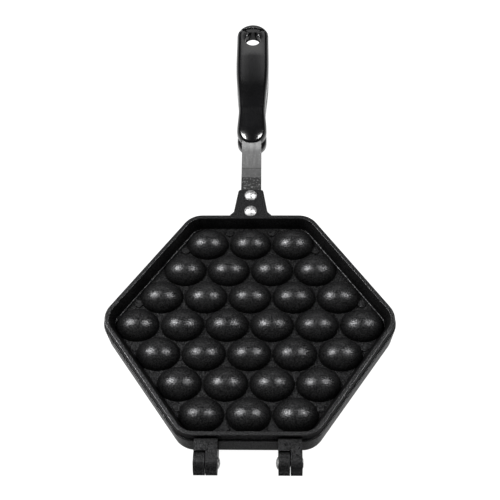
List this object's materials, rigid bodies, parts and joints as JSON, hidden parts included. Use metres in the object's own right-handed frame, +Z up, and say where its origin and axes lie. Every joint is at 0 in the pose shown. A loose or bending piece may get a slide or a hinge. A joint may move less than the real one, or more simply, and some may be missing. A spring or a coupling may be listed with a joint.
{
  "type": "egg waffle pan",
  "caption": "Hinged hexagonal stovetop pan of two cast plates with egg-shaped cells, which folds open on two rear hinges and has a steel strap and moulded grip on each half.",
  "frame": {"origin": "middle of the part's bounding box, on its base, where the lower plate's rim stands", "axes": "+Z up through the closed pan, +Y from the hinges to the grips, +X to the right of someone who looks along +Y, along the hinge axis"},
  "size_m": [0.221, 0.4194, 0.0326],
  "materials": {
    "cast_black": "sandy black non-stick coat on cast aluminium",
    "steel": "satin",
    "polished": "polished",
    "grip_black": "semi-gloss moulded"
  },
  "bodies": {
    "lower_half": {"lower_plate": "cast_black", "left_hinge_pin": "polished", "right_hinge_pin": "polished", "lower_strap": "steel", "lower_outer_rivet": "polished", "lower_inner_rivet": "polished", "lower_grip": "grip_black", "lower_end_cap": "grip_black", "lower_grip_screw": "polished"},
    "upper_half": {"upper_plate": "cast_black", "upper_strap": "steel", "upper_outer_rivet": "polished", "upper_inner_rivet": "polished", "upper_grip": "grip_black", "upper_end_cap": "grip_black", "upper_grip_screw": "polished"}
  },
  "joints": [
    {"name": "plate_hinge", "type": "hinge", "parent": "lower_half", "child": "upper_half", "pos_m": [0, -0.2012, 0.0185], "axis": [1, 0, 0], "range_deg": [0, 180]}
  ]
}
